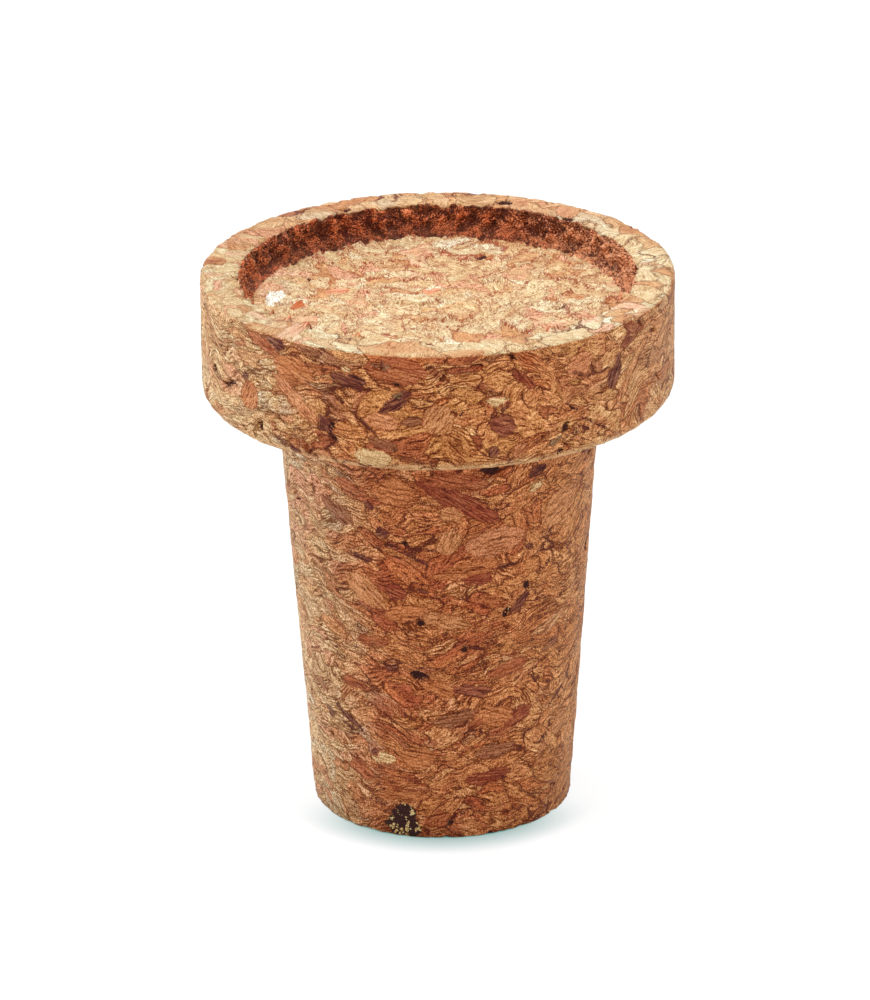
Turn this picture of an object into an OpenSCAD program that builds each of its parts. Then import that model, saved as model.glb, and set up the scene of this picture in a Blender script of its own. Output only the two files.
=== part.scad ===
// Cork stopper for a wide-necked carafe or jar, turned in one piece from agglomerated cork.
// It stands on its narrow end: the origin is the centre of that end, and +Z runs up the axis.

/* [Head] */
// Diameter of the head
head_d = 60; // [54:0.5:80]
// Height of the head, from its underside to the rim
head_h = 15.6; // [10:0.2:30]
// Radius of the rounded lower edge of the head
head_lower_edge_r = 1.6; // [0.2:0.1:2.4]
// Radius of the softened upper edge of the head
head_upper_edge_r = 0.3; // [0.1:0.1:1]

/* [Recess in the top] */
// Width of the flat rim left standing round the recess
rim_w = 5; // [2:0.5:10]
// Depth of the recess below the rim
recess_depth = 4; // [3.2:0.1:7]
// Radius that the cutter leaves between the recess wall and its floor
recess_floor_r = 2; // [0.2:0.1:2.4]
// Radius of the softened edge at the mouth of the recess
recess_mouth_r = 0.3; // [0.1:0.1:0.6]

/* [Tapered shank] */
// Length of the shank, from its narrow end to the head
shank_l = 55.5; // [30:0.5:90]
// Diameter of the shank where it meets the head
shank_wide_d = 41.2; // [34:0.2:44]
// Diameter of the shank's narrow end
shank_narrow_d = 33; // [20:0.2:33.8]
// Radius of the softened edge round the narrow end
shank_end_edge_r = 0.2; // [0.1:0.1:3]
// Radius in the corner between the shank and the head
neck_fillet_r = 0.5; // [0.2:0.1:2]

/* [Hidden] */
$fn = 180;
cork_colour = [0.76, 0.55, 0.36];
// How far a corner's sliver is spread past the two sides, as a scale about its arc's centre
overreach = 1.05;
// How far a corner's arc passes through its two sides
crossing = 0.001;

// Heights above the narrow end
rim_z = shank_l + head_h;
recess_floor_z = rim_z - recess_depth;
recess_r = head_d / 2 - rim_w;

// Corners of the half section, each as [radius, height], going round from the axis
end_centre = [0, 0];
shank_end = [shank_narrow_d / 2, 0];
neck = [shank_wide_d / 2, shank_l];
head_lower_edge = [head_d / 2, shank_l];
head_upper_edge = [head_d / 2, rim_z];
recess_mouth = [recess_r, rim_z];
recess_corner = [recess_r, recess_floor_z];
recess_centre = [0, recess_floor_z];

function unit(v) = v / norm(v);

// Sliver between the two sides of a corner and the arc of radius r that touches both.
// Added to an inner corner it makes a fillet, and cut from an outer one it makes a round.
// It reaches past both sides, and its arc just crosses them, so that no two edges coincide.
module corner_sliver(before, corner, after, r) {
    to_before = unit(before - corner);
    to_after = unit(after - corner);
    half_angle = acos(to_before * to_after) / 2;
    reach = r / tan(half_angle);
    arc_centre = corner + unit(to_before + to_after) * r / sin(half_angle);
    kite = [corner + to_after * reach, corner, corner + to_before * reach];
    translate(arc_centre) difference() {
        polygon([[0, 0], for (point = kite) (point - arc_centre) * overreach]);
        circle(r + crossing);
    }
}

// Half section with every corner still sharp
module sharp_section() {
    polygon([
        end_centre, shank_end, neck, head_lower_edge,
        head_upper_edge, recess_mouth, recess_corner, recess_centre
    ]);
}

// Half section of the finished stopper, right of the axis
module stopper_section() {
    difference() {
        union() {
            sharp_section();
            corner_sliver(shank_end, neck, head_lower_edge, neck_fillet_r);
            corner_sliver(recess_mouth, recess_corner, recess_centre, recess_floor_r);
        }
        corner_sliver(end_centre, shank_end, neck, shank_end_edge_r);
        corner_sliver(neck, head_lower_edge, head_upper_edge, head_lower_edge_r);
        corner_sliver(head_lower_edge, head_upper_edge, recess_mouth, head_upper_edge_r);
        corner_sliver(head_upper_edge, recess_mouth, recess_corner, recess_mouth_r);
    }
}

module stopper() {
    color(cork_colour) rotate_extrude() stopper_section();
}

stopper();
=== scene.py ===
import math

import bpy
import numpy as np
from mathutils import Matrix, Vector


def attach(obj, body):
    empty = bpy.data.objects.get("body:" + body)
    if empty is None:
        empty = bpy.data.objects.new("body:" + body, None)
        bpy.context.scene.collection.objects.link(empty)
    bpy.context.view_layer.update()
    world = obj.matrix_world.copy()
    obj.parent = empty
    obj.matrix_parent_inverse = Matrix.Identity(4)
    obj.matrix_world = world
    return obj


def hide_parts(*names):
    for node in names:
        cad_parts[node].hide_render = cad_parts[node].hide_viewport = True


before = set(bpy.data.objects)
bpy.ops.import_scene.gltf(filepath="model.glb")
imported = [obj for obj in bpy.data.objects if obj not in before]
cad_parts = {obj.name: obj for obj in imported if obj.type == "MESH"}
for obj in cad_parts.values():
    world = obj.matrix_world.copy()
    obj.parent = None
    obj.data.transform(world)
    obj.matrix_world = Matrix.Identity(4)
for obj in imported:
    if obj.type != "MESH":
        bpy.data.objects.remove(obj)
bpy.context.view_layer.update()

MM = 0.001
BODY = "root"
NODE = "stopper"
PIECE = "cork_stopper"

bpy.context.scene.view_settings.view_transform = "Standard"


# ---------- node building

def adds(operation, swapped=False):
    """A method that adds a math node for its value and the others"""
    def method(value, *others):
        values = (*others, value) if swapped else (value, *others)
        return value.net.math(operation, *values)
    return method


class Value:
    """One output of a node; arithmetic with it, and the calls below, add more nodes"""

    __add__, __radd__ = adds("ADD"), adds("ADD", swapped=True)
    __sub__, __rsub__ = adds("SUBTRACT"), adds("SUBTRACT", swapped=True)
    __mul__, __truediv__ = adds("MULTIPLY"), adds("DIVIDE")
    __gt__, __lt__, __abs__ = adds("GREATER_THAN"), adds("LESS_THAN"), adds("ABSOLUTE")
    most, least = adds("MAXIMUM"), adds("MINIMUM")

    def __init__(self, net, node, output=0):
        self.net = net
        self.socket = node.outputs[output]

    def span(self, low, high, to_low=0.0, to_high=1.0):
        """A smooth step from to_low to to_high as the value goes from low to high"""
        return Value(self.net, self.net.add("ShaderNodeMapRange", self, low, high, to_low, to_high,
                                            interpolation_type="SMOOTHSTEP"))

    def mix(self, data_type, first_input, output, a, b):
        inputs = {0: self, first_input: a, first_input + 1: b}
        return Value(self.net, self.net.add("ShaderNodeMix", inputs=inputs, data_type=data_type), output)

    def pick(self, a, b):
        return self.mix("FLOAT", 2, 0, a, b)

    def pick_vector(self, a, b):
        return self.mix("VECTOR", 4, 1, a, b)

    def tint(self, a, b):
        return self.mix("RGBA", 6, 2, a, b)

    def parts(self):
        node = self.net.add("ShaderNodeSeparateXYZ", self)
        return [Value(self.net, node, axis) for axis in range(3)]

    def ramp(self, stops, interpolation="LINEAR"):
        node = self.net.add("ShaderNodeValToRGB", self)
        node.color_ramp.interpolation = interpolation
        elements = node.color_ramp.elements
        while len(elements) < len(stops):
            elements.new(0.5)
        for element, (position, colour) in zip(elements, stops):
            element.position = position
            element.color = (*colour, 1.0)
        return Value(self.net, node)


class Net:
    """Adds nodes to one node tree, of a shader or of geometry nodes"""

    def __init__(self, tree):
        self.tree = tree

    def put(self, socket, value):
        if isinstance(value, Value):
            self.tree.links.new(value.socket, socket)
        elif socket.type == "RGBA" and len(value) == 3:
            socket.default_value = (*value, 1.0)
        else:
            socket.default_value = value

    def add(self, kind, *values, inputs=None, **settings):
        """A node with its settings, values for its first inputs, and inputs by name or number"""
        node = self.tree.nodes.new(kind)
        for name, setting in settings.items():
            setattr(node, name, setting)
        for place, value in [*enumerate(values), *(inputs or {}).items()]:
            self.put(node.inputs[place], value)
        return node

    def math(self, operation, *values, clamp=False):
        return Value(self, self.add("ShaderNodeMath", *values, operation=operation, use_clamp=clamp))

    def vector(self, operation, a, b=(0.0, 0.0, 0.0)):
        node = self.add("ShaderNodeVectorMath", a, b, operation=operation)
        return Value(self, node, "Value" if operation == "DOT_PRODUCT" else "Vector")

    def scaled(self, vector, factor):
        inputs = {0: vector, "Scale": factor}
        return Value(self, self.add("ShaderNodeVectorMath", inputs=inputs, operation="SCALE"), "Vector")

    def join(self, x, y, z):
        return Value(self, self.add("ShaderNodeCombineXYZ", x, y, z))

    def noise(self, at, size, detail=1.0, roughness=0.5):
        """Smooth noise with features about size across"""
        inputs = {"Vector": at, "Scale": 1.0 / size, "Detail": detail, "Roughness": roughness}
        return self.add("ShaderNodeTexNoise", inputs=inputs, noise_dimensions="3D")

    def level(self, *noise, **options):
        """Noise as one number, mostly from 0.3 to 0.7"""
        return Value(self, self.noise(*noise, **options))

    def sway(self, at, size, reach):
        """Noise as a shift in all directions, up to about a quarter of reach"""
        colour = Value(self, self.noise(at, size), "Color")
        return self.scaled(self.vector("SUBTRACT", colour, (0.5, 0.5, 0.5)), reach)

    def cells(self, at, feature="F1"):
        inputs = {"Vector": at, "Scale": 1.0}
        return self.add("ShaderNodeTexVoronoi", inputs=inputs, voronoi_dimensions="3D", feature=feature)


def add_object(name, data):
    thing = bpy.data.objects.new(name, data)
    bpy.context.scene.collection.objects.link(thing)
    return thing


def empty_tree(owner):
    owner.use_nodes = True
    owner.node_tree.nodes.clear()
    return Net(owner.node_tree)


# ---------- camera, light and stage

IMAGE_HEIGHT_PX = 1000
SENSOR_MM = 36.0
FOCAL_PX = 8200.0
CLIP_START = 0.01
CAMERA_DISTANCE = 1.0487
CAMERA_ELEVATION = math.radians(21.9)
CAMERA_ROLL = math.radians(-0.63)
CAMERA_AIM = Vector((-0.0006, 0.0, 0.0400))

WHITE = (1.0, 1.0, 1.0)
WORLD_STRENGTH = 0.50
LAMP_AIM = Vector((0.0, 0.0, 0.04))
# Soft square lamps: name, place, side in metres, power in watts
SOFTBOXES = (
    ("overhead", (0.0, 0.1, 0.8), 0.7, 5.0),
    ("front_left", (-0.5, -0.75, 0.28), 0.5, 0.35),
    ("front_right", (0.6, -0.6, 0.30), 0.5, 1.62),
    ("left", (-0.8, -0.1, 0.3), 0.5, 2.1),
    ("back_left", (-0.6, 0.6, 0.35), 0.5, 2.4),
)

FLOOR_HALF_WIDTH = 1.5
# The paper's grey as it lights the object, and as the camera sees it, made white by its glow
PAPER, SEEN_PAPER, GLOW = (0.50,) * 3, (0.15,) * 3, 0.90
# Contact shadow: colour, reach, and the direction in which it looks for the object
CONTACT_SHADOW = (0.05, 0.285, 0.25)
CONTACT_REACH = 5 * MM
CONTACT_SIDE = (0.0, 0.5, 0.87)
CONTACT_RAYS = 8
# Where it grows before and behind the axis, from its least to its full strength there
SHADOW_BEFORE = (-2 * MM, -15 * MM, 0.05, 1.0)
SHADOW_BEHIND = (12 * MM, 18 * MM, 0.05, 0.9)


def add_camera():
    data = bpy.data.cameras.new("camera")
    data.sensor_width = SENSOR_MM
    data.lens = SENSOR_MM * FOCAL_PX / IMAGE_HEIGHT_PX
    data.clip_start = CLIP_START
    camera = add_object("camera", data)
    away = Vector((0.0, -math.cos(CAMERA_ELEVATION), math.sin(CAMERA_ELEVATION)))
    tilt = Matrix.Rotation(math.pi / 2 - CAMERA_ELEVATION, 4, "X")
    roll = Matrix.Rotation(CAMERA_ROLL, 4, "Z")
    camera.matrix_world = Matrix.Translation(CAMERA_AIM + away * CAMERA_DISTANCE) @ tilt @ roll
    bpy.context.scene.camera = camera


def add_softbox(name, at, side, power):
    data = bpy.data.lights.new(name, "AREA")
    data.shape = "RECTANGLE"
    data.size = data.size_y = side
    data.energy = power
    lamp = add_object(name, data)
    lamp.location = at
    lamp.rotation_euler = (LAMP_AIM - lamp.location).to_track_quat("-Z", "Y").to_euler()


def show_as(net, lighting, seen, output):
    """One shader for the rays that light the object, another for those that see the background"""
    path = net.add("ShaderNodeLightPath")
    mirrored = Value(net, path, "Is Glossy Ray") + Value(net, path, "Is Transmission Ray")
    background = net.math("ADD", Value(net, path, "Is Camera Ray"), mirrored, clamp=True)
    mix = net.add("ShaderNodeMixShader", background, Value(net, lighting), Value(net, seen))
    net.add(output, Value(net, mix))


def add_world():
    world = bpy.data.worlds.new("studio")
    bpy.context.scene.world = world
    net = empty_tree(world)
    soft = net.add("ShaderNodeBackground", WHITE, WORLD_STRENGTH)
    show_as(net, soft, net.add("ShaderNodeBackground", WHITE, 1.0), "ShaderNodeOutputWorld")


def paper_material():
    """Lights the object as paper does, and shows white apart from the contact shadow"""
    paper = bpy.data.materials.new("white_paper")
    net = empty_tree(paper)
    matt = net.add("ShaderNodeBsdfDiffuse", PAPER)
    seen = net.add("ShaderNodeBsdfDiffuse", SEEN_PAPER)
    inputs = {"Distance": CONTACT_REACH, "Normal": net.join(*CONTACT_SIDE)}
    nearby = net.add("ShaderNodeAmbientOcclusion", inputs=inputs, samples=CONTACT_RAYS)
    back = Value(net, net.add("ShaderNodeNewGeometry"), "Position").parts()[1]
    strength = back.span(*SHADOW_BEFORE).most(back.span(*SHADOW_BEHIND))
    shadow = (1.0 - Value(net, nearby, "AO")) * strength
    glow = net.add("ShaderNodeEmission", shadow.tint(WHITE, CONTACT_SHADOW), GLOW)
    both = net.add("ShaderNodeAddShader", Value(net, seen), Value(net, glow))
    show_as(net, matt, both, "ShaderNodeOutputMaterial")
    return paper


def add_floor():
    mesh = bpy.data.meshes.new("floor")
    side = FLOOR_HALF_WIDTH
    corners = [(-side, -side, 0.0), (side, -side, 0.0), (side, side, 0.0), (-side, side, 0.0)]
    mesh.from_pydata(corners, [], [(0, 1, 2, 3)])
    mesh.materials.append(paper_material())
    add_object("floor", mesh)


# ---------- the turned form, read from the CAD solid

# Vertices closer than this on the section belong to one ring
RING_STEP = 0.01 * MM
# How close a place must be to a face, finely and coarsely, and to the head's rounded side
HAIR, SKIM, EDGE_ROUND = 0.02 * MM, 0.05 * MM, 0.35 * MM
# Below the recess floor: nothing of the recess, and then the shoulder
BELOW_FLOOR, FAR_BELOW_FLOOR = 0.5 * MM, 5 * MM
# The shank is inside this share of the head's radius
INSIDE_HEAD = 0.9
# The section ends with this many points of the recess: its fillet and its floor
RECESS_POINTS = 12


def half_section(node):
    """The solid's rings of vertices as (radius, height), walked from the foot to the recess floor"""
    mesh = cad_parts[node].data
    places = {}
    ring_of = []
    for vertex in mesh.vertices:
        radius, height = math.hypot(vertex.co.x, vertex.co.y), vertex.co.z
        key = (round(radius / RING_STEP), round(height / RING_STEP))
        places[key] = (radius, height)
        ring_of.append(key)
    joined = {key: set() for key in places}
    for edge in mesh.edges:
        a, b = (ring_of[i] for i in edge.vertices)
        if a != b:
            joined[a].add(b)
            joined[b].add(a)
    here = min(places, key=lambda key: (key[1], key[0]))
    walk = [here]
    while True:
        onward = [key for key in joined[here] if key not in walk]
        if not onward:
            break
        here = min(onward, key=lambda key: math.dist(key, here))
        walk.append(here)
    chain = [places[key] for key in walk]
    return [(0.0, chain[0][1])] + chain + [(0.0, chain[-1][1])]


section = half_section(NODE)
foot_z = section[0][1]
floor_z = section[-1][1]
rim_z = max(z for r, z in section)
head_r = max(r for r, z in section)
foot_r = max(r for r, z in section if z < foot_z + 1 * MM)
recess_r = max(r for r, z in section[-RECESS_POINTS:])
shoulder_z = max(z for r, z in section if z < floor_z - FAR_BELOW_FLOOR and r < head_r * INSIDE_HEAD)


def zone_of(r, z):
    """Which face of the stopper a place on the section belongs to"""
    if z < foot_z + SKIM:
        return "foot"
    if z < shoulder_z - HAIR:
        return "shank"
    if z < shoulder_z + HAIR:
        return "shoulder"
    if r > head_r - EDGE_ROUND or z < floor_z - BELOW_FLOOR:
        return "side"
    if z > rim_z - SKIM:
        return "rim"
    if z > floor_z + HAIR:
        return "wall"
    return "floor"


# Distance between neighbouring vertices on each face
SPACING = {
    "foot": 0.60 * MM, "shank": 0.43 * MM, "shoulder": 0.60 * MM, "side": 0.40 * MM,
    "rim": 0.33 * MM, "wall": 0.25 * MM, "floor": 0.34 * MM,
}
# Points of the section keep at least this share of their spacing apart
LEAST_APART = 0.55
FEWEST_IN_RING = 8
TINY = 1e-9
# Rings start at the back
SEAM = math.pi / 2


def outward_of(start, end):
    """The direction out of the section between two of its points"""
    (r0, z0), (r1, z1) = start[:2], end[:2]
    length = math.hypot(r1 - r0, z1 - z0)
    return (z1 - z0) / length, -(r1 - r0) / length


def resample(chain):
    """Points along the section at each face's own spacing, as [r, z, out_r, out_z, zone]"""
    points = []
    for (r0, z0), (r1, z1) in zip(chain, chain[1:]):
        out = outward_of((r0, z0), (r1, z1))
        zone = zone_of((r0 + r1) / 2, (z0 + z1) / 2)
        count = max(1, round(math.hypot(r1 - r0, z1 - z0) / SPACING[zone]))
        for k in range(count):
            t = k / count
            points.append([r0 + (r1 - r0) * t, z0 + (z1 - z0) * t, *out, zone])
    points.append([*chain[-1], 0.0, 1.0, "floor"])
    kept = [points[0]]
    for point in points[1:-1]:
        if math.dist(point[:2], kept[-1][:2]) > LEAST_APART * SPACING[point[4]]:
            kept.append(point)
    kept.append(points[-1])
    for before, point, after in zip(kept, kept[1:], kept[2:]):
        point[2:4] = outward_of(before, after)
    kept[0][2:4] = 0.0, -1.0
    kept[-1][2:4] = 0.0, 1.0
    return kept


class Skin:
    """Closed net of rings round the axis: places, outward directions, faces and flat layout"""

    def __init__(self, points):
        self.points = points
        self.start, self.count = [], []
        place, outward, ring_index = [], [], []
        for i, (r, z, out_r, out_z, zone) in enumerate(points):
            n = 1 if r < TINY else max(FEWEST_IN_RING, round(2 * math.pi * r / SPACING[zone]))
            self.start.append(len(place))
            self.count.append(n)
            for k in range(n):
                angle = SEAM + 2 * math.pi * k / n
                c, s = math.cos(angle), math.sin(angle)
                place.append((r * c, r * s, z))
                outward.append((out_r * c, out_r * s, out_z))
                ring_index.append(i)
        self.place = np.array(place)
        self.outward = np.array(outward)
        self.ring = np.array(ring_index)
        self.faces, self.corners = [], []
        for i in range(len(points) - 1):
            self.zip_rings(i, i + 1)

    def zip_rings(self, a, b):
        """Triangles between neighbouring rings; each corner notes its ring and its share of the turn"""
        na, nb = self.count[a], self.count[b]
        i = j = 0
        while i < na or j < nb:
            if na > 1 and (j >= nb or nb == 1 or (i < na and (i + 1) / na <= (j + 1) / nb)):
                trio = [(a, i), (a, i + 1), (b, j if nb > 1 else 0)]
                i += 1
            else:
                trio = [(a, i if na > 1 else 0), (b, j + 1), (b, j)]
                j += 1
            if nb == 1 and i >= na:
                j = nb
            if na == 1 and j >= nb:
                i = na
            self.faces.append([self.start[ring] + k % self.count[ring] for ring, k in trio])
            self.corners.append([(ring, k / self.count[ring] if self.count[ring] > 1 else None)
                                 for ring, k in trio])


# ---------- granules that stand out

def srgb(*channels):
    """Linear colour from the 0 to 255 numbers of a colour picker"""
    return tuple(((c / 255 + 0.055) / 1.055) ** 2.4 if c > 10 else c / 255 / 12.92 for c in channels)


# Kinds of granule and their colours, dark to pale
KINDS = {
    "hole": srgb(60, 24, 18), "flecked": srgb(58, 26, 22), "line": srgb(104, 42, 30),
    "plum": srgb(106, 46, 42), "olive": srgb(132, 100, 70), "bark": srgb(156, 92, 60),
    "stripes": srgb(152, 78, 56), "redwood": srgb(152, 64, 40), "brick": srgb(184, 98, 58),
    "orange": srgb(206, 124, 72), "salmon": srgb(220, 142, 94), "tan": srgb(214, 143, 90),
    "pink": srgb(226, 150, 112), "cream": srgb(230, 184, 128), "rust": srgb(188, 94, 46),
    "white": srgb(236, 228, 208),
}


def number_of(kind, share=0.0):
    """A kind as a number from 0 to 1, as the mesh carries it"""
    return (list(KINDS).index(kind) + share) / len(KINDS)


MARK_TONES = tuple((number_of(kind), colour) for kind, colour in KINDS.items())
HOLES_TO, FLECKED_AT = number_of("flecked"), number_of("flecked", 0.5)
# Kinds from plum to tan show lines, and those before olive are dark
LINED_FROM, LINED_TO, DARK_TO = number_of("plum"), number_of("pink"), number_of("olive")

# On the sides: turn in degrees from the front, height, length, girth, tilt in degrees, kind
SIDE_MARKS = (
    (-22, 67.4, 4.8, 2, -6, "plum"), (-22.5, 68.6, 1.9, 1.3, -20, "cream"),
    (-20, 66.2, 6.5, 0.4, 0, "line"), (-10, 69, 8.5, 3.6, -4, "brick"), (-13.5, 69.6, 2.9, 0.9, -8, "plum"),
    (-2, 69.5, 1.2, 0.6, 20, "hole"), (-10, 67.2, 1, 0.5, 10, "hole"), (-10.5, 64.8, 5, 1.6, 38, "plum"),
    (-9.8, 65.3, 3.2, 1.3, 38, "olive"), (-13.5, 62.2, 5, 2.4, -6, "salmon"),
    (-6.5, 62.3, 3.9, 1.3, 10, "bark"), (0, 62.6, 4.4, 4, 60, "tan"), (-16, 57.3, 5.4, 2.6, -4, "cream"),
    (-5.5, 57.2, 4.2, 0.7, -8, "bark"), (-13.5, 59.2, 4.2, 1.6, -14, "bark"),
    (-28, 60.9, 2.8, 1.8, -55, "plum"), (-26.3, 61, 0.9, 0.8, 0, "hole"), (-26, 59.2, 0.8, 0.7, 60, "hole"),
    (-20.5, 63, 9.5, 0.35, -42, "line"), (15.5, 61.4, 3.6, 2.8, -10, "stripes"),
    (14, 64.8, 3.4, 1.3, -6, "cream"), (14, 65.8, 3.8, 0.4, 4, "line"), (16, 64, 1.6, 0.6, 35, "plum"),
    (13, 58.2, 1.7, 1.4, 50, "plum"), (5.5, 63.2, 0.7, 0.5, 60, "hole"), (12.5, 70.5, 4, 0.9, 6, "bark"),
    (20.5, 67.2, 5.6, 1.3, -45, "redwood"), (32, 59.8, 1.8, 0.9, 45, "hole"),
    (28.5, 58.2, 2.2, 1.1, 40, "olive"), (30, 56.6, 1.3, 0.5, 30, "hole"),
    (19.5, 57.9, 2.6, 1.3, 40, "salmon"), (47, 65.3, 4.8, 2.2, 65, "plum"),
    (46.5, 66.6, 2, 1.1, 50, "cream"), (36, 67.6, 4.6, 3.4, 20, "salmon"),
    (35.5, 66.5, 3, 0.4, -20, "line"), (38, 58.8, 6, 0.4, -32, "line"), (40, 59.4, 6, 0.4, -32, "line"),
    (-69.5, 62.6, 1.4, 0.9, 0, "hole"), (-64, 63.2, 4, 0.35, -12, "line"),
    (-55.5, 65.4, 1.9, 1.3, 60, "cream"), (-53.5, 64.3, 1.5, 1.1, 20, "plum"),
    (-52, 61.9, 4.4, 3.4, 60, "orange"), (-42, 70.2, 3.4, 1.7, -12, "plum"),
    (-47, 69.6, 6, 2, -16, "brick"), (-32, 70.4, 5.2, 1.3, -12, "bark"),
    (-37, 67.2, 6.6, 3.6, -10, "orange"), (-36.5, 63.4, 9, 2, -38, "salmon"),
    (-39, 57, 4.6, 1, -22, "plum"), (-32.4, 56.9, 0.8, 0.7, 0, "hole"), (18.5, 51.6, 3.4, 1.2, -4, "hole"),
    (37.5, 50.3, 3.6, 1.1, 25, "plum"), (37, 48.2, 3, 1.2, 28, "cream"),
    (8, 47.4, 12.5, 2.8, -29, "redwood"), (6, 50.4, 9.5, 2.4, -8, "brick"),
    (-34, 48.5, 5.8, 1.7, -14, "brick"), (-26.5, 46.5, 1.9, 1, -28, "plum"),
    (-22, 43, 1.7, 1.3, 20, "plum"), (-31.5, 39.1, 4.6, 0.9, -6, "plum"),
    (-13.3, 41.8, 0.9, 0.6, 10, "hole"), (-23.6, 40.6, 0.9, 0.6, 20, "hole"),
    (-8.3, 39.6, 4.2, 0.6, -28, "plum"), (21, 41.6, 8.8, 3.8, 8, "salmon"), (3, 42, 3.8, 3.4, 70, "tan"),
    (18.5, 38.8, 1.1, 0.7, 10, "hole"), (35.5, 39.9, 2.2, 0.7, -38, "plum"),
    (43, 36.3, 5, 0.35, 50, "line"), (35.1, 34.7, 1.3, 0.8, 30, "hole"), (32, 32.4, 4, 1.6, 42, "plum"),
    (26, 31.4, 1.7, 0.8, 65, "hole"), (-30, 34.4, 6.8, 3.6, -36, "tan"),
    (-17.5, 34.8, 3.2, 2.4, -10, "redwood"), (-9.7, 35.3, 3.2, 0.6, -8, "plum"),
    (-30, 32.2, 2.4, 1.1, -20, "bark"), (-8, 30.6, 1.1, 0.8, 0, "hole"), (9.4, 26.8, 1, 0.7, 20, "hole"),
    (-59, 18.7, 3.6, 1.6, -10, "bark"), (-9.3, 23.3, 2.7, 1.2, -12, "hole"),
    (-20, 24, 2.2, 0.8, 20, "plum"), (-41, 15.4, 6.5, 0.8, -32, "plum"), (5.4, 17.2, 6.2, 1.9, 15, "bark"),
    (23, 16.8, 6.4, 3.2, -12, "orange"), (47, 11.7, 2.8, 0.4, 30, "line"), (23, 12, 6.2, 2, 6, "bark"),
    (-26, 11, 3.8, 1.9, 0, "cream"), (-29, 11.8, 1.7, 1, 30, "plum"), (-17.6, 1.5, 5.2, 3.2, -6, "flecked"),
    (-17.4, 3.2, 3.4, 3, 55, "flecked"), (3, 2.3, 1.4, 0.8, 0, "hole"), (-10, 11.5, 5, 3, 0, "orange"),
    (-37, 8.6, 4.2, 2.4, -20, "brick"), (20, 8.4, 6.6, 2, 5, "redwood"), (-19, 5.8, 8, 1.7, 5, "orange"),
    (-1.5, 2.8, 4, 2.2, 25, "brick"), (33, 16.3, 5, 2.2, 25, "redwood"), (16, 16.8, 4.2, 1.6, 40, "brick"),
    (54, 16.8, 4.4, 0.6, 35, "plum"), (-54, 15.3, 2.2, 0.9, -40, "plum"), (12, 21, 5.4, 1.8, -5, "stripes"),
    (-42, 14.4, 4.2, 0.45, -20, "line"), (-38, 20.8, 4.6, 1.6, -10, "brick"),
    (14.5, 26.9, 3.8, 0.5, -15, "line"), (-1, 21.4, 5, 2, -20, "orange"), (59, 12.8, 4, 2.8, 20, "tan"),
    (-17, 48.7, 5.8, 3.8, 0, "orange"), (4, 46.1, 3.8, 2.1, -10, "tan"), (-41, 44.8, 6.2, 2.4, -25, "bark"),
    (-14, 41.2, 8, 0.4, -4, "line"), (11, 38, 10.5, 1.9, 10, "orange"),
    (14.5, 36.7, 4.2, 1.7, 0, "redwood"), (-14, 32, 6, 2.6, 12, "orange"), (-19, 34.5, 2.8, 1, 10, "brick"),
    (51, 44, 7.5, 5, 20, "tan"), (26, 38, 4.2, 0.45, 5, "line"), (49, 25, 5, 1.4, 20, "bark"),
    (2, 31, 7, 2.2, -14, "tan"), (28, 23.5, 6.5, 1.8, 12, "brick"), (-47, 28, 5.5, 1.8, -18, "tan"),
    (-28, 27.5, 5, 1.6, 8, "brick"),
)

# On the top: place across and back from the axis, length, girth, tilt in degrees, kind
TOP_MARKS = (
    (-20.5, 2, 4.8, 2.4, 72, "white"), (-17.9, -0.8, 3.6, 1.4, 70, "rust"),
    (-12.6, 4.1, 3.2, 1.8, 10, "pink"), (-0.7, 4.1, 2.8, 1.8, 30, "pink"),
    (-16.2, 8.9, 1.8, 0.8, 0, "hole"), (5.7, 16.4, 1.8, 0.8, -10, "hole"),
    (15.5, -1.9, 1.8, 0.8, 10, "hole"), (8.9, 25.6, 2.4, 1.6, 0, "hole"), (-11.7, 23.6, 2, 1.2, 20, "hole"),
    (17, 19.4, 2, 1.2, -40, "hole"),
)

# Larger than any distance that matters, in mm
FAR = 9.0
# Marks with more girth than this are blunt at their ends, and the others pointed
BROAD, BLUNT, POINTED = 1.5, 2.8, 2.0
# Thinner marks than this, and these kinds, lie on top of the others
THIN = 1.0
ON_TOP = ("hole", "plum", "cream")
# How far the top's marks stay inside the head's radius, and how far below the recess floor they go
TOP_INSET, TOP_DEPTH = 0.1, 1.0
# Faces that look down further than this carry no mark
DOWNWARD = -0.8


def lens(along, across, length, girth):
    """How far inside a chip shape a place lies, negative outside it"""
    bluntness = BLUNT if girth > BROAD else POINTED
    return girth / 2 * (1 - np.abs(2 * along / length) ** bluntness) - np.abs(across)


def lay_marks(place, outward):
    """For each vertex: mm inside its nearest mark, the mark's kind from 0 to 1, and place across it"""
    x, y, z = (place / MM).T
    turn = np.degrees(np.arctan2(x, -y))
    radius = np.hypot(x, y)
    on_top = (z > floor_z / MM - TOP_DEPTH) & (radius < head_r / MM - TOP_INSET)
    beneath = outward[:, 2] < DOWNWARD
    best = np.full(len(place), -FAR)
    kind_at = np.zeros(len(place))
    across_at = np.zeros(len(place))
    for marks, top in ((SIDE_MARKS, False), (TOP_MARKS, True)):
        for place_a, place_b, length, girth, tilt, kind in marks:
            right = x - place_a if top else np.radians((turn - place_a + 180) % 360 - 180) * radius
            up = y - place_b if top else z - foot_z / MM - place_b
            c, s = math.cos(math.radians(tilt)), math.sin(math.radians(tilt))
            across = up * c - right * s
            inside = lens(right * c + up * s, across, length, girth)
            inside = np.where((on_top == top) & ~beneath, inside, -FAR)
            covers = girth < THIN or kind in ON_TOP
            nearer = inside > (np.minimum(best, 0.0) if covers else best)
            best = np.where(nearer, inside, best)
            kind_at = np.where(nearer, number_of(kind, 0.5), kind_at)
            across_at = np.where(nearer, across, across_at)
    return np.stack([best, kind_at, across_at], 1)


# ---------- granules as fields

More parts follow.
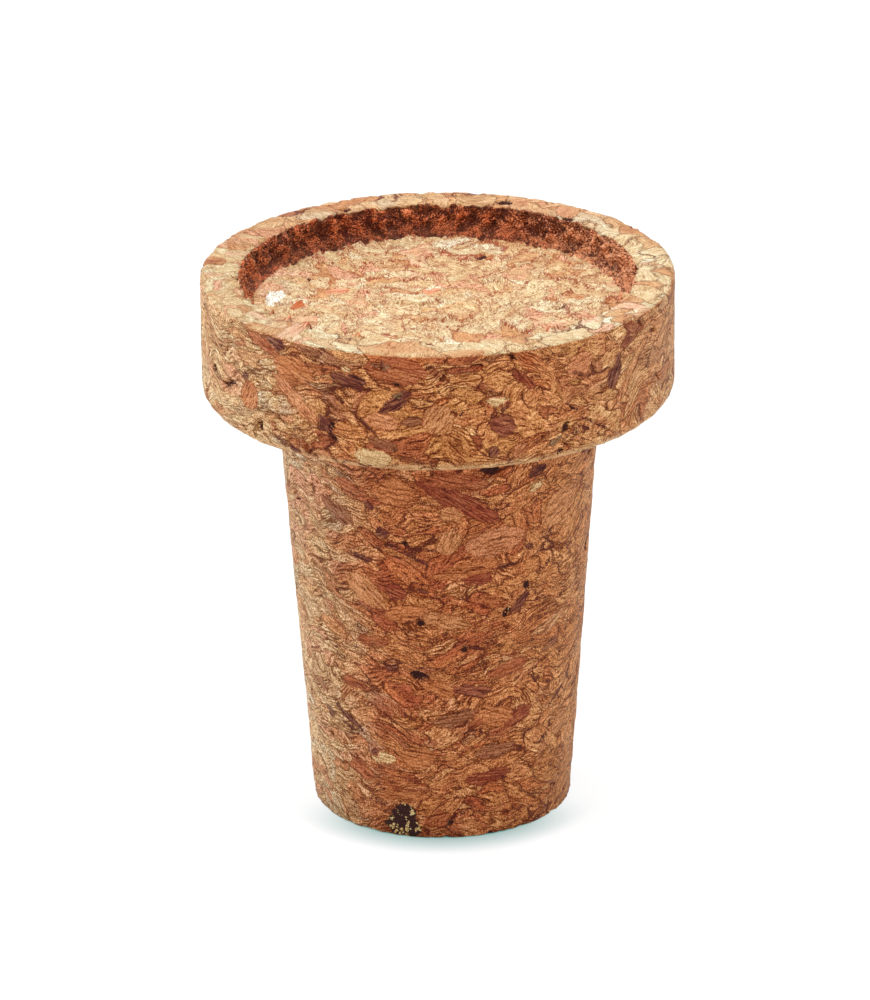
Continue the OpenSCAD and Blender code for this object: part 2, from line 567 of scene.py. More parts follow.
# Large and small granules in mm: width, thickness, and what one unit from their edge is worth
LARGE = (8.2, 3.5, 4.4)
SMALL = (3.0, 1.3, 1.7)
# Large granules whose number is above this are crumbled into small ones, a few more by the router
CRUMBLED_FROM, CRUMBLED_BY_ROUTER = 0.58, 0.12
# Sets of long chips: rise over run, length and girth in mm, and the share of places that hold one
CHIPS = ((0.42, 8.5, 3.2, 0.50), (-0.38, 7.5, 2.8, 0.50), (0.05, 5.5, 1.9, 0.35))
CHIP_RADIUS = 0.47
# How steeply a chip rises towards the back, as a share of its rise towards the right
RISE_BACK = 0.6

# Cracks: raggedness, width from firm to loose places, and their soft edge in widths
CRACK_RAGGED = 0.5
CRACK_WIDTH = (0.53, 0.78, 0.012, 0.17)
CRACK_OUTSIDE, CRACK_INSIDE = 1.35, 0.5
# Pits: raggedness, where they come, and how far they reach from a joint
PIT_RAGGED = 1.5
PIT_PLACES, PIT_REACH = (0.725, 0.745), (0.42, 0.26)

# Growth lines: where granules are steep, how far the others and they lean, and the rise of flat ones
STEEP_FROM = 0.82
LEAN, STEEP_LEAN, FLAT_RISE = 0.45, 2.6, 0.3
# The gap between lines in mm, their half width from edge to core, and where there are lines
LINE_GAP, LINE_WIDTH = (0.0, 1.0, 0.42, 0.95), (0.13, 0.02)
LINED_GRANULES, LINED_PLACES = (0.30, 0.75), (0.36, 0.56)
# How a line wavers: scale along and across it, and reach; and how far a granule's lines are shifted
WAVER_ALONG, WAVER_ACROSS, WAVER_REACH = 0.25, 0.9, 1.3
LINE_SHIFT = 9.0
# Streaks: their scale along and across the lines
STREAK_ALONG, STREAK_ACROSS = 0.8, 4.8


def streaks(net, place, across):
    """Fine streaks: noise that changes slowly along the lines and fast across them"""
    stretched = net.vector("ADD", net.scaled(place, STREAK_ALONG), across)
    return net.level(stretched, 1.0, detail=1.5, roughness=0.7)


def gap_noise(net, place):
    """Where the router tore small gaps into the recess floor"""
    return net.level(place, 0.85, detail=2.0, roughness=0.7)


class Granules:
    """Flat granules as fields over the bent place in mm, the same in the colours and in the relief"""

    def __init__(self, net, bent, routed):
        self.net = net
        large, large_edge = self.pressed(bent, *LARGE)
        small, small_edge = self.pressed(bent, *SMALL)
        self.crumbled = large.parts()[0] + routed * CRUMBLED_BY_ROUTER > CRUMBLED_FROM
        self.seed = self.crumbled.pick_vector(large, small)
        self.edge = large_edge.least(small_edge + (1.0 - self.crumbled) * FAR)
        self.slope = 0.0
        for chips in CHIPS:
            self.lay_chips(bent, *chips)
        again = net.add("ShaderNodeTexWhiteNoise", inputs={"Vector": self.seed}, noise_dimensions="3D")
        self.lean_right, self.lean_back, self.turn = self.seed.parts()
        self.step, self.tone, self.spread = Value(net, again, "Color").parts()

    def pressed(self, bent, wide, thick, edge_worth):
        """Each granule's own colour as its number, and the distance to its edge"""
        net = self.net
        place = net.vector("MULTIPLY", bent, (1 / wide, 1 / wide, 1 / thick))
        edge = Value(net, net.cells(place, "DISTANCE_TO_EDGE"), "Distance")
        return Value(net, net.cells(place), "Color"), edge * edge_worth

    def lay_chips(self, bent, rise, length, girth, share):
        """Long chips at one tilt, laid over the granules"""
        net = self.net
        x, y, z = bent.parts()
        slid = z + x * rise + y * (RISE_BACK * rise)
        chips = net.cells(net.join(x * (1 / length), y * (1 / length), slid * (1 / girth)))
        seed = Value(net, chips, "Color")
        inside = (CHIP_RADIUS - Value(net, chips, "Distance")) * girth
        inside = (seed.parts()[0] < share).pick(-FAR, inside)
        on = inside > 0.0
        self.slope = on.pick(self.slope, rise)
        self.edge = (self.edge + on * FAR).least(abs(inside))
        self.seed = on.pick_vector(self.seed, seed)

    def crack(self, ragged, loose):
        """1 in the dark joints round some of the granules"""
        width = loose.span(*CRACK_WIDTH)
        edge = self.edge + (ragged - 0.5) * CRACK_RAGGED
        return edge.span(width * CRACK_OUTSIDE, width * CRACK_INSIDE)

    def pit(self, ragged, deep):
        """1 in the holes where a piece of granule fell out beside a joint"""
        edge = self.edge + (ragged - 0.5) * PIT_RAGGED
        return deep.span(*PIT_PLACES) * edge.span(*PIT_REACH)

    def growth(self, place, bent, flat, faint):
        """Wavy lines of growth, mostly along the granule, and finer streaks beside them"""
        net = self.net
        slant = (self.spread > STEEP_FROM).pick(LEAN, STEEP_LEAN)
        lean_x = (self.lean_right - 0.5) * slant + self.slope
        lean_y = (self.lean_back - 0.5) * slant + self.slope * RISE_BACK
        turn = self.turn * (2 * math.pi)
        upright = net.join(lean_x, lean_y, 1.0)
        level = net.join(net.math("COSINE", turn), net.math("SINE", turn), FLAT_RISE)
        across = net.vector("NORMALIZE", flat.pick_vector(upright, level))
        along = net.vector("DOT_PRODUCT", bent, across)
        gap = self.spread.span(*LINE_GAP)
        wavering = net.vector("ADD", net.scaled(place, WAVER_ALONG),
                              net.scaled(across, along * WAVER_ACROSS))
        rings = along / gap + self.tone * LINE_SHIFT + net.level(wavering, 1.0) * WAVER_REACH
        off_line = abs(net.math("FRACT", rings) - 0.5) * gap
        strength = self.step.span(*LINED_GRANULES) * faint.span(*LINED_PLACES)
        line = off_line.span(*LINE_WIDTH) * strength
        return line, streaks(net, place, net.scaled(across, along * STREAK_ACROSS))


# ---------- the cork's colours

# Tones of the granules from chance 0 to 1, seen on edge from the sides and flat on the ends; the ends'
# paler tones are partly the cork's own and partly painted light
SIDE_TONES = (
    (0.00, srgb(138, 60, 38)), (0.08, srgb(168, 86, 48)), (0.16, srgb(198, 110, 58)),
    (0.28, srgb(220, 142, 84)), (0.40, srgb(202, 130, 70)), (0.50, srgb(176, 94, 50)),
    (0.60, srgb(218, 143, 82)), (0.72, srgb(198, 116, 62)), (0.84, srgb(228, 160, 98)),
    (0.92, srgb(164, 86, 50)), (1.00, srgb(236, 184, 120)),
)
TOP_TONES = (
    (0.00, srgb(168, 96, 58)), (0.08, srgb(194, 136, 88)), (0.20, srgb(204, 164, 116)),
    (0.34, srgb(214, 188, 144)), (0.46, srgb(206, 172, 126)), (0.58, srgb(214, 194, 152)),
    (0.70, srgb(212, 156, 122)), (0.80, srgb(200, 166, 120)), (0.92, srgb(218, 204, 166)),
    (1.00, srgb(228, 218, 192)),
)
# What the flat tones are multiplied by on the sides, where they make the painted veil of light, on the rim
# and on the recess floor
SIDE_SHADE, RIM_SHADE, ROUTED_SHADE = (1.0, 0.95, 0.83), (0.97, 1.0, 1.03), (1.0, 0.93, 0.87)
RUST = srgb(180, 82, 44)
# Warm colour of painted light on the shank's right side
PAINTED_LIGHT_AMBER = srgb(226, 150, 72)
# Colour of the painted highlight along the head's lower edge
PAINTED_EDGE_HIGHLIGHT = srgb(255, 198, 136)
FLECK = srgb(222, 190, 128)
CRACK = srgb(92, 34, 22)
PIT = srgb(66, 24, 16)
# The torn wall of the recess: its low places, and its high ones on the left and on the right; low places
# are darker and high ones lighter partly as painted shade and highlight, and those on the right are paler
# as painted light
TORN, TORN_LIGHT, TORN_PAINTED_LIT = srgb(84, 28, 15), srgb(198, 98, 54), srgb(208, 132, 88)
# Gaps, cracks and pits of the recess floor
TORN_LOW = srgb(146, 56, 30)

# Spans in mm or in levels of noise, some with the least and the most that they give
SHANK_TOP = (shoulder_z / MM + 0.5, shoulder_z / MM - 0.5)
UNDERSIDE = (shoulder_z / MM + 2.0, shoulder_z / MM + 1.0)
# Where light and shade are painted: the rim's left, the right side and the back
LEFT, RIGHT, BACK = (-12.0, -27.0), (4.0, 20.0), (4.0, 24.0)
# Painted shade: darker towards the foot, and near its edge
FOOT_PAINTED_SHADE = (foot_z / MM, foot_z / MM + 12.0, 0.90, 1.0)
FOOT_EDGE_PAINTED_SHADE = (0.0, 1.0, 0.88, 1.0)
RUSTY = (0.50, 0.74, 0.0, 0.42)
# Over this span of the painted veil of light, fewer cracks show
CRACK_BY_PAINTED_VEIL = (0.1, 0.5, 1.0, 0.35)
TORN_LAYERS = (0.66, 0.86)
EDGE_PATCHES = (0.34, 0.52, 0.3, 1.0)
MARK_EDGE, MARK_LINE, MARK_RIM = (-0.05, 0.05), (0.10, 0.02), (0.11, 0.04)
MARK_STREAKS = (0.40, 0.60, 1.0, 0.70)
MARK_LINE_PLACES = (0.36, 0.56, 0.3, 0.9)
FLECKS_IN_DARK = (0.54, 0.58)
GRAIN_LIGHT = (0.28, 0.72, -0.50, 0.50)
JOINT_WIDTH, BESIDE_WIDTH = (0.11, 0.03), (0.12, 0.03)
JOINT_PLACES = (0.40, 0.60, 0.20, 0.95)
FLECK_STREAKS = (0.42, 0.34)
GAP_PLACES = (0.36, 0.32)
CLEFT_WIDTH, CLEFT_PLACES = (0.042, 0.018), (0.44, 0.52)

# The tone of a granule: how much chance and slow drift change it, and where it starts
TONE_CHANCE, TONE_DRIFT, TONE_START = 0.84, 0.45, 0.08
# The shank is tinted towards rust, partly as painted shade, and warmer on its right as painted light
SHANK_RUST_AND_PAINTED_SHADE, SHANK_RIGHT_PAINTED_LIGHT = 0.28, 0.30
# How far the flat tones give way at the back, as painted shade, and on the head's underside
PALE_BACK_PAINTED_SHADE, FADED_UNDER = 0.42, -0.6
# What the layers of the torn wall follow, and its share of the colour; following the relief, they paint
# shade in low places and highlights on high crumbs, more light on the right and more shade at the back
TORN_BY_GRAIN, TORN_BY_FORM, TORN_RIGHT_PAINTED_LIGHT, TORN_BACK_PAINTED_SHADE = 0.6, 0.9, 0.06, -0.04
TORN_SHARE = 0.94
# Marks: how ragged and uneven their edges are in mm, the gap and waver of their lines, their outline
MARK_RAGGED, MARK_UNEVEN, MARK_TORN = 0.9, 1.2, 2.2
MARK_LINE_GAP, MARK_LINE_WAVER = 0.34, 3.0
MARK_RIM_AT = 0.04
# The base of the light, and what streaks, layers and the shank's grain add; then painted shade on the rim's
# back and left, the painted veil of light on the sides and the painted highlight beside joints
LIGHT_BASE, LIGHT_STREAKS, LIGHT_LAYERS, LIGHT_SHANK = 1.05, 2.35, 0.8, 0.25
LIGHT_BACK_PAINTED_SHADE, LIGHT_LEFT_PAINTED_SHADE, LIGHT_PAINTED_VEIL, LIGHT_PAINTED_EMBOSS = -0.13, -0.20, 0.09, 0.10
# How much calmer the light is on flat faces and in marks, and how much finer flat faces are
CALM_FLAT, CALM_MARKS, FINE_FLAT = 0.45, 0.35, 0.5
# Joints: raggedness, how faint they are in crumbled granules, and where the painted highlight beside them
# is
JOINT_RAGGED, JOINT_CRUMBLED, BESIDE_AT = 0.3, -0.45, 0.24
# How dark lines, outlines and flecks are, and how far cracks and gaps show
DARK_LINES, DARK_RIM, DARK_FLECKS = 0.68, 0.7, 0.46
CRACK_SHARE, GAPS_ROUTED, GAPS_ELSEWHERE, CLEFT_AT = 0.9, 0.65, 0.12, 0.47
# How far the sheen is shut in lines, in dark marks and along the painted edge highlight
SHUT_LINES, SHUT_MARKS, SHUT_EDGE = 0.7, 0.85, 1.1
# The least light, and how much faster green and blue fade than red
LEAST_LIGHT, GREEN_FADE, BLUE_FADE = 0.12, 1.5, 2.1

ROUGHNESS = 0.55
SPECULAR = 0.14
SHEEN_WEIGHT, SHEEN_ROUGHNESS, SHEEN_TINT = 0.3, 0.40, (1.0, 0.80, 0.46)
BUMP_GRAIN, BUMP_LAYERS = 0.11, 0.26


def read(net, name):
    """A vector stored at the mesh's vertices, in a shader"""
    return Value(net, net.add("ShaderNodeAttribute", attribute_name=name), "Vector")


class CorkLook:
    """The cork's colour in layers, from the fields that the mesh carries"""

    def __init__(self, net):
        self.net = net
        self.place = read(net, "place_mm")
        self.bent = read(net, "bent_mm")
        self.flat, self.wall, self.routed = read(net, "zone").parts()
        self.loose, self.deep, self.wide = read(net, "mood").parts()
        self.faint, self.hue, self.form = read(net, "mood2").parts()
        # The wear field holds the worn edges, the painted veil of light on the sides and the painted
        # highlight along the head's lower edge
        _, self.bleached, painted_edge_light = read(net, "wear").parts()
        self.inside, self.kind, self.across = read(net, "mark").parts()
        self.grains = Granules(net, self.bent, self.routed)
        self.line, self.streak = self.grains.growth(self.place, self.bent, self.flat, self.faint)
        grain = net.noise(self.place, 0.18, detail=1.0, roughness=0.7)
        self.grain = Value(net, grain)
        self.ragged = Value(net, grain, "Color").parts()[2]
        pressed = net.vector("MULTIPLY", self.bent, (0.6, 0.6, 3.4))
        self.layers = net.level(pressed, 1.0, detail=1.0, roughness=0.65)
        self.gaps = gap_noise(net, self.place)
        # The painted highlight along the head's lower edge comes in patches
        self.painted_edge_light = painted_edge_light * self.form.span(*EDGE_PATCHES)
        self.unrouted = 1.0 - self.routed
        self.fine = 1.0 - self.flat * FINE_FLAT
        right, back, self.height = self.place.parts()
        self.on_shank = self.height.span(*SHANK_TOP)
        self.under = self.flat * self.height.span(*UNDERSIDE)
        self.on_rim = self.flat - self.under
        self.at_right = right.span(*RIGHT)
        self.back = back.span(*BACK)
        self.at_back = self.back * self.unrouted
        self.at_left = self.on_rim * right.span(*LEFT) * self.unrouted

    def unmarked(self):
        """Sides, flat faces, the torn wall of the recess and the painted highlight along the head's lower
        edge
        """
        tone = self.grains.tone * TONE_CHANCE + (self.wide - 0.5) * TONE_DRIFT + TONE_START
        # The shank is tinted redder and darker than the head, partly as painted shade
        rust = self.hue.span(*RUSTY) + self.on_shank * SHANK_RUST_AND_PAINTED_SHADE
        colour = rust.tint(tone.ramp(SIDE_TONES), RUST)
        # Painted light: the shank's right side is tinted warmer
        colour = (self.at_right * self.on_shank * SHANK_RIGHT_PAINTED_LIGHT).tint(colour, PAINTED_LIGHT_AMBER)
        shade = self.routed.pick_vector(self.on_rim.pick_vector(SIDE_SHADE, RIM_SHADE), ROUTED_SHADE)
        # At the back the flat tones give way to the side tones, as painted shade
        pale_share = self.flat * (1.0 - self.at_back * PALE_BACK_PAINTED_SHADE) * (1.0 + self.under * FADED_UNDER)
        pale = self.net.vector("MULTIPLY", tone.ramp(TOP_TONES), shade)
        # Painted veil of light: the sides take on the pale tones
        colour = pale_share.most(self.bleached).tint(colour, pale)
        # The torn wall is darker in low places and lighter on high crumbs, partly painted shade and
        # highlight; lighter on the right as painted light and darker at the back as painted shade
        crumb = (self.grain * TORN_BY_GRAIN + self.form * TORN_BY_FORM
                 + self.at_right * TORN_RIGHT_PAINTED_LIGHT + self.back * TORN_BACK_PAINTED_SHADE)
        torn = crumb.span(*TORN_LAYERS).tint(TORN, self.at_right.tint(TORN_LIGHT, TORN_PAINTED_LIT))
        colour = (self.wall * TORN_SHARE).tint(colour, torn)
        # Painted highlight along the head's lower edge, standing for light bounced up from the floor
        return self.painted_edge_light.tint(colour, PAINTED_EDGE_HIGHLIGHT)

    def draw_marks(self, colour):
        """Marks with their own streaks and lines"""
        net = self.net
        is_flecked = net.math("COMPARE", self.kind, FLECKED_AT, 0.01)
        lined = self.kind > LINED_FROM
        uneven = lined.most(is_flecked).pick(MARK_UNEVEN, MARK_TORN)
        inside = self.inside + (self.ragged - 0.5) * MARK_RAGGED + (self.form - 0.5) * uneven
        self.marked = inside.span(*MARK_EDGE)
        self.bare = 1.0 - self.marked
        own_streak = streaks(net, self.place, net.join(self.across * STREAK_ACROSS, 0.0, 0.0))
        self.streak = (self.marked > 0.5).pick(self.streak, own_streak)
        plain = (self.kind < LINED_FROM).most(self.kind > LINED_TO)
        solid = self.streak.span(*MARK_STREAKS).most(plain)
        flecked = is_flecked * self.gaps.span(*FLECKS_IN_DARK)
        tone = flecked.tint(self.kind.ramp(MARK_TONES, "CONSTANT"), FLECK)
        band = net.math("PINGPONG", self.across + self.form * MARK_LINE_WAVER, MARK_LINE_GAP)
        self.mark_line = (band.span(*MARK_LINE) * (lined * (self.kind < LINED_TO)) * self.marked
                          * self.faint.span(*MARK_LINE_PLACES))
        self.outline = abs(inside - MARK_RIM_AT).span(*MARK_RIM)
        return (self.marked * solid).tint(colour, tone)

    def dark_lines(self):
        """Growth lines, joints between granules and the outlines of marks"""
        edge = self.grains.edge + (self.ragged - 0.5) * JOINT_RAGGED
        joint = (edge.span(*JOINT_WIDTH) * self.bare * self.faint.span(*JOINT_PLACES)
                 * (1.0 + self.grains.crumbled * JOINT_CRUMBLED))
        growth = (self.line * self.bare).most(self.mark_line)
        return growth.most(joint.most(self.outline * DARK_RIM)) * self.unrouted * self.fine

    def light(self, lines):
        """How light or dark each place is"""
        light = (self.grain.span(*GRAIN_LIGHT) * (1.0 + self.on_shank * LIGHT_SHANK)
                 + (self.streak - 0.5) * LIGHT_STREAKS + (self.layers - 0.5) * LIGHT_LAYERS)
        calm = 1.0 - (self.flat * CALM_FLAT).most(self.marked * CALM_MARKS)
        # Painted shade darkens the rim's back and left, and the painted veil of light lightens the sides
        light = (LIGHT_BASE + light * calm + self.at_back * self.on_rim * LIGHT_BACK_PAINTED_SHADE
                 + self.at_left * LIGHT_LEFT_PAINTED_SHADE + self.bleached * LIGHT_PAINTED_VEIL)
        steady = read(self.net, "steady").parts()[0]
        # Painted shade: darker towards the foot and near its edge
        light = light * steady.span(*FOOT_EDGE_PAINTED_SHADE) * self.height.span(*FOOT_PAINTED_SHADE)
        # A pale line beside each joint is a painted highlight, standing for the lit edges of the relief
        beside = abs(self.grains.edge - BESIDE_AT).span(*BESIDE_WIDTH)
        light = light * (1.0 + beside * self.fine * self.bare * LIGHT_PAINTED_EMBOSS)
        fleck = self.streak.span(*FLECK_STREAKS)
        return light * (1.0 - lines * DARK_LINES) * (1.0 - fleck * self.fine * DARK_FLECKS)

    def shaded(self, colour, light):
        """The colour in more or less light"""
        net = self.net
        light = light.most(LEAST_LIGHT)
        fade = net.join(light, net.math("POWER", light, GREEN_FADE), net.math("POWER", light, BLUE_FADE))
        return net.vector("MULTIPLY", colour, fade)

    def open_holes(self, colour, crack, pit):
        """Gaps in the flat faces, dark cracks and pits"""
        cleft = abs(self.gaps - CLEFT_AT).span(*CLEFT_WIDTH) * self.faint.span(*CLEFT_PLACES)
        gaps = self.gaps.span(*GAP_PLACES).most(cleft)
        gaps = gaps * self.flat * self.bare * (self.routed * GAPS_ROUTED + GAPS_ELSEWHERE)
        colour = gaps.tint(colour, TORN_LOW)
        colour = (crack * self.bare * CRACK_SHARE).tint(colour, self.routed.tint(CRACK, TORN_LOW))
        return (pit * self.bare).tint(colour, self.routed.tint(PIT, TORN_LOW))

    def finish(self):
        """The colour, and how far the surface is open to sheen"""
        # Fewer cracks show where the sides are painted paler as a veil of light
        crack = self.grains.crack(self.ragged, self.loose) * self.bleached.span(*CRACK_BY_PAINTED_VEIL)
        pit = self.grains.pit(self.ragged, self.deep)
        colour = self.draw_marks(self.unmarked())
        lines = self.dark_lines()
        colour = self.open_holes(self.shaded(colour, self.light(lines)), crack, pit)
        dark_mark = self.marked * (self.kind < DARK_TO) * SHUT_MARKS
        closed = (lines * SHUT_LINES).most(crack.most(pit) * self.bare)
        closed = closed.most(dark_mark).most(self.painted_edge_light * SHUT_EDGE)
        return colour, (1.0 - closed).most(0.0)

    def bumps(self):
        """The fine grain's height in mm"""
        grain = self.net.level(self.place, 0.27, detail=1.5, roughness=0.7)
        return grain * BUMP_GRAIN + self.layers * BUMP_LAYERS


def cork_material():
    material = bpy.data.materials.new("cork")
    net = empty_tree(material)
    look = CorkLook(net)
    colour, open_skin = look.finish()
    bump = net.add("ShaderNodeBump", inputs={"Distance": MM, "Strength": 1.0, "Height": look.bumps()})
    skin = net.add("ShaderNodeBsdfPrincipled", inputs={
        "Base Color": colour, "Roughness": ROUGHNESS, "Normal": Value(net, bump),
        "Specular IOR Level": SPECULAR, "Sheen Weight": open_skin * SHEEN_WEIGHT,
        "Sheen Tint": SHEEN_TINT, "Sheen Roughness": SHEEN_ROUGHNESS,
    })
    net.add("ShaderNodeOutputMaterial", Value(net, skin))
    return material


# ---------- relief

# Three sways bend the granules: feature size and reach in mm
SWAYS = ((13.0, 9.5), (4.6, 2.7), (1.5, 0.9))
FLATTEN = (1.0, 1.0, 2.2)
# How far each field moves the turned, the routed and the torn faces, in mm
RELIEF = {
    "sides": {"swell": 0.30, "crumbs": 0.16, "step": 0.06, "pit": -0.60, "crack": -0.08},
    "routed": {"swell": 0.20, "crumbs": 1.2, "step": 0.65, "pit": -0.5, "gaps": -0.25},
    "torn": {"swell": 1.3, "crumbs": 3.0, "step": 0.35},
}
GAP_DEPTHS = (0.40, 0.32)
# Holes that are marks: raggedness, edge and depth in mm
HOLE_RAGGED = 1.2
HOLE_EDGE = (-0.2, 0.3)
HOLE_DEPTH = -0.5
# Worn edges: the noise's middle, its reach in mm, and the most that it adds
WORN_MIDDLE, WORN_REACH, WORN_MOST = 0.52, 2.8, 0.05


def weighted(fields, weights):
    """The sum of the named fields, each times its weight"""
    first, *others = (fields[name] * weight for name, weight in weights.items())
    return sum(others, first)


def named(net, name):
    """A vector stored at the mesh's vertices, in geometry nodes"""
    node = net.add("GeometryNodeInputNamedAttribute", data_type="FLOAT_VECTOR", inputs={"Name": name})
    return Value(net, node, "Attribute")


def relief_nodes():
    """Stores the slow fields at the vertices, then pushes the surface in and out"""
    group = bpy.data.node_groups.new("relief", "GeometryNodeTree")
    for way in ("INPUT", "OUTPUT"):
        group.interface.new_socket("Geometry", in_out=way, socket_type="NodeSocketGeometry")
    net = Net(group)
    place = named(net, "place_mm")
    outward = named(net, "outward")
    _, wall, routed = named(net, "zone").parts()
    edge_wear = named(net, "wear").parts()[0]
    steady = named(net, "steady").parts()[0]
    inside, kind, _ = named(net, "mark").parts()

    bent = place
    for size, reach in SWAYS:
        bent = net.vector("ADD", bent, net.sway(place, size, reach))
    flattened = net.vector("MULTIPLY", bent, FLATTEN)
    loose = net.level(place, 5.0, detail=2.0)
    deep = net.level(flattened, 3.0)
    wide = net.level(bent, 4.0, detail=2.0)
    faint = net.level(flattened, 2.2)
    hue = net.level(flattened, 3.0, detail=2.0)
    form = net.level(place, 1.6, detail=3.0, roughness=0.72)

    grains = Granules(net, bent, routed)
    fields = {
        "swell": net.level(place, 3.0, detail=2.0) - 0.5,
        "crumbs": form - 0.5,
        "step": grains.step - 0.5,
        "pit": grains.pit(net.level(place, 0.8), deep) * (inside < 0.0) * steady,
        "crack": grains.crack(0.5, loose),
        "gaps": gap_noise(net, place).span(*GAP_DEPTHS),
    }
    sides, cut, torn = (weighted(fields, RELIEF[face]) for face in ("sides", "routed", "torn"))
    sunk = (inside + fields["crumbs"] * HOLE_RAGGED).span(*HOLE_EDGE)
    height = wall.pick(routed.pick(sides, cut), torn) + sunk * (kind < HOLES_TO) * HOLE_DEPTH
    worn = (net.level(place, 1.3, detail=2.0) - WORN_MIDDLE) * WORN_REACH
    height = height + worn.least(WORN_MOST) * edge_wear

    geometry = Value(net, net.add("NodeGroupInput"))
    stored = {"bent_mm": bent, "mood": net.join(loose, deep, wide), "mood2": net.join(faint, hue, form)}
    for name, value in stored.items():
        inputs = {"Geometry": geometry, "Name": name, "Value": value}
        keep = net.add("GeometryNodeStoreNamedAttribute", data_type="FLOAT_VECTOR", inputs=inputs)
        geometry = Value(net, keep, "Geometry")
    inputs = {"Geometry": geometry, "Offset": net.scaled(outward, height * MM)}
    moved = net.add("GeometryNodeSetPosition", inputs=inputs)
    net.add("NodeGroupOutput", Value(net, moved, "Geometry"))
    return group


def apply_relief(piece):
    relief = piece.modifiers.new("relief", "NODES")
    relief.node_group = relief_nodes()
    bpy.context.view_layer.update()
    ready = bpy.data.meshes.new_from_object(piece.evaluated_get(bpy.context.evaluated_depsgraph_get()))
    piece.modifiers.remove(relief)
    old = piece.data
    piece.data = ready
    bpy.data.meshes.remove(old)
    ready.name = piece.name


# ---------- the stopper

# Bake layout: height of each face's strip on a square sheet, and centre and radius of each disc
STRIPS = {"shank": 0.40, "side": 0.12, "shoulder": 0.05, "wall": 0.05, "rim": 0.04}
DISCS = {"foot": (0.87, 0.84, 0.11), "floor": (0.50, 0.84, 0.15)}
STRIP_GAP = 0.006
DISC_MARGIN = 1.05

# Worn edges: radius, height, reach in mm, amount
WORN_EDGES = (
    (recess_r, rim_z, 1.0, 1.8), (head_r, rim_z, 0.7, 0.35),
    (head_r, shoulder_z, 1.4, 0.4), (foot_r, foot_z, 1.2, 0.25),
)
# Sides painted paler as a painted veil of light: turn from the front, span of the turn's cosine, amount,
# and more on the head
PAINTED_VEIL_SIDES = ((-80, 0.5, 0.95, 0.60, 0.0), (75, 0.6, 1.0, 0.05, 0.17))
# Faces count as flat by the square of how far they look up or down
FLAT_FACES = (0.05, 0.5)
# The painted highlight along the head's lower edge, standing for light bounced up from the floor: reach in
# mm, strength, most, and what looks down too far for it
EDGE_REACH, EDGE_STRENGTH, EDGE_MOST, EDGE_DOWN = 1.5, 1.3, 0.8, -0.98
# No pits this close to the foot's edge, in mm; there the colour is also darkened as painted shade
STEADY_REACH = 3


def ease(low, high, value):
    t = np.clip((value - low) / (high - low), 0, 1)
    return t * t * (3 - 2 * t)


def lay_flat(skin, mesh):
    """Writes the UV map of the bake layout"""
    strip_start, start = {}, STRIP_GAP
    for zone, height in STRIPS.items():
        strip_start[zone] = start
        start += height + STRIP_GAP
    run = [0.0]
    for before, after in zip(skin.points, skin.points[1:]):
        run.append(run[-1] + math.dist(before[:2], after[:2]))
    span = {}
    for i, point in enumerate(skin.points[:-1]):
        low = span.get(point[4], (run[i], 0))[0]
        span[point[4]] = (low, run[i + 1])
    reach = {zone: max(point[0] for point in skin.points if point[4] == zone) for zone in DISCS}
    flat = []
    for corners in skin.corners:
        zone = skin.points[min(ring for ring, share in corners)][4]
        for ring, share in corners:
            if zone in DISCS:
                u0, v0, size = DISCS[zone]
                r = size * skin.points[ring][0] / (reach[zone] * DISC_MARGIN)
                angle = 2 * math.pi * (share or 0.0)
                flat.append((u0 + r * math.cos(angle), v0 + r * math.sin(angle)))
            else:
                low, high = span[zone]
                part = (run[ring] - low) / (high - low)
                flat.append((share or 0.0, strip_start[zone] + STRIPS[zone] * part))
    layer = mesh.uv_layers.new(name="OFBake")
    layer.data.foreach_set("uv", np.asarray(flat, dtype=np.float32).ravel())


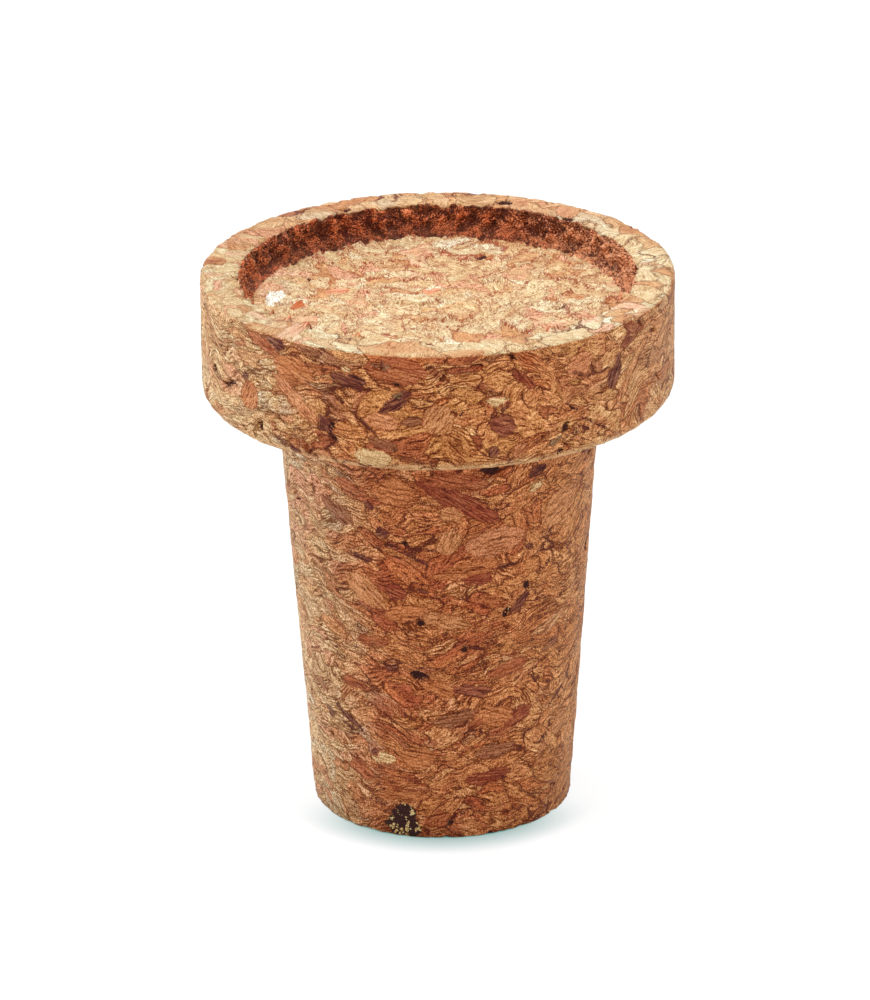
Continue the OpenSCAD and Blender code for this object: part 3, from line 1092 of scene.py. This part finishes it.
def store_fields(skin, mesh):
    """What the relief and the colours need at each vertex"""
    x, y, z = skin.place.T
    radius = np.hypot(x, y)

    def near(r, height, reach_mm):
        """1 at a place on the section, and 0 out of its reach"""
        return ease(1.0, 0.0, np.hypot(radius - r, z - height) / (reach_mm * MM))

    zones = np.array([point[4] for point in skin.points])[skin.ring]
    flat = ease(*FLAT_FACES, skin.outward[:, 2] ** 2)
    turn = np.arctan2(x, -y)
    wear = sum(near(r, height, reach) * amount for r, height, reach, amount in WORN_EDGES)
    # Painted veil of light: the sides are paler towards the left, and a little on the right
    bleached = sum((amount + more * (z > shoulder_z)) * ease(low, high, np.cos(turn - math.radians(side)))
                   for side, low, high, amount, more in PAINTED_VEIL_SIDES)
    # Painted highlight along the head's lower edge
    edge = np.minimum(EDGE_MOST, EDGE_STRENGTH * near(head_r, shoulder_z, EDGE_REACH))
    painted_edge_light = edge * (skin.outward[:, 2] > EDGE_DOWN)
    # No pits near the foot's edge, and painted shade there
    steady = 1 - near(foot_r, foot_z, STEADY_REACH)
    fields = {
        "place_mm": skin.place / MM,
        "outward": skin.outward,
        "zone": np.stack([flat, zones == "wall", zones == "floor"], 1),
        # The wear field also carries the painted veil of light and the painted edge highlight
        "wear": np.stack([wear, bleached, painted_edge_light], 1),
        "steady": np.stack([steady] * 3, 1),
        "mark": lay_marks(skin.place, skin.outward),
    }
    for name, values in fields.items():
        layer = mesh.attributes.new(name, "FLOAT_VECTOR", "POINT")
        layer.data.foreach_set("vector", values.astype(np.float32).ravel())


def stand_on_floor(mesh):
    """Nothing goes below the foot, so the stopper stands flat"""
    places = np.empty(len(mesh.vertices) * 3, dtype=np.float32)
    mesh.vertices.foreach_get("co", places)
    places[2::3] = np.maximum(places[2::3], foot_z)
    mesh.vertices.foreach_set("co", places)
    mesh.update()


def make_stopper():
    skin = Skin(resample(section))
    mesh = bpy.data.meshes.new(PIECE)
    mesh.from_pydata(skin.place.tolist(), [], skin.faces)
    mesh.update()
    lay_flat(skin, mesh)
    store_fields(skin, mesh)
    piece = bpy.data.objects.new(PIECE, mesh)
    bpy.context.scene.collection.objects.link(piece)
    mesh.materials.append(cork_material())
    mesh.shade_smooth()
    apply_relief(piece)
    stand_on_floor(piece.data)
    return piece


stopper = make_stopper()
add_camera()
add_world()
for softbox in SOFTBOXES:
    add_softbox(*softbox)
add_floor()
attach(stopper, BODY)
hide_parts(NODE)
